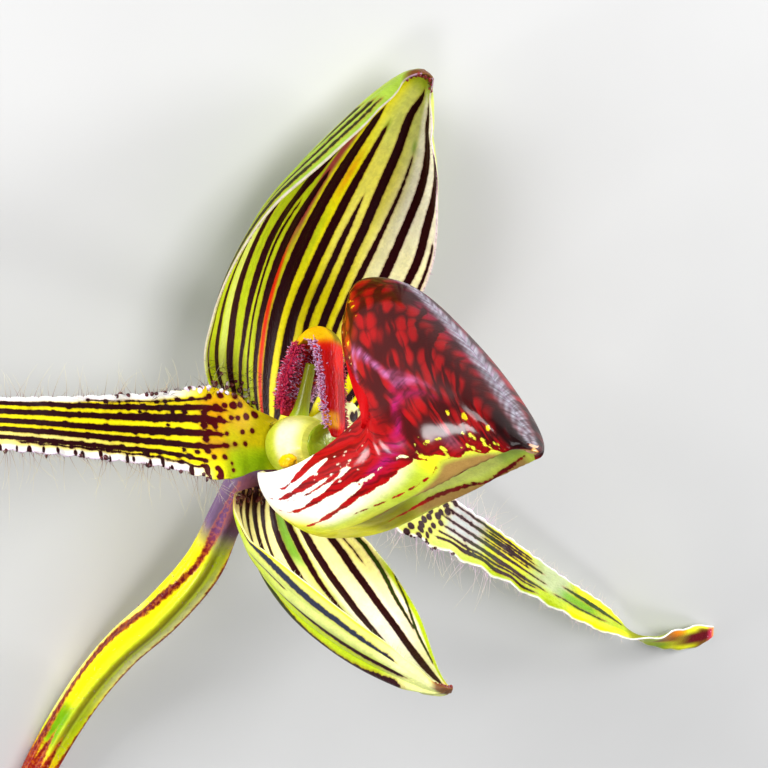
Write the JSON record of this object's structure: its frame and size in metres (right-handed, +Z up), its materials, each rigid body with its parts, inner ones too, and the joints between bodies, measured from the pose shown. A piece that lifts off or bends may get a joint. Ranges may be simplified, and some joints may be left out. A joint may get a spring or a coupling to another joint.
{
  "type": "rothschild slipper orchid flower",
  "caption": "Picked slipper orchid flower lying on its back: striped sepals, long spotted petals, pointed red pouch, hairy staminode and cut stem.",
  "frame": {"origin": "middle of the footprint, on the surface that the picked flower rests on", "axes": "+X along the petals to the flower's own left, +Y towards the tip of the dorsal sepal, +Z up, out of the flower's face"},
  "size_m": [0.2326, 0.1538, 0.0766],
  "materials": {
    "stem": "smooth green skin with dark red ridges",
    "sepal": "cream and yellow-green with dark maroon stripes",
    "petal": "yellow-green with rows of maroon spots and hairy edges",
    "lip": "waxy deep red with darker net veins, cream at the sole",
    "column": "waxy cream and yellow-green",
    "staminode": "red with a yellow-green knee and purple glandular hairs",
    "stigma": "smooth moist olive green",
    "anther": "sticky golden brown pollen"
  },
  "bodies": {
    "root": {"stem": "stem", "dorsal_sepal": "sepal", "synsepal": "sepal", "right_petal": "petal", "left_petal": "petal", "pouch": "lip", "column": "column", "staminode": "staminode", "stigma": "stigma", "anther_right": "anther", "anther_left": "anther"}
  },
  "joints": []
}
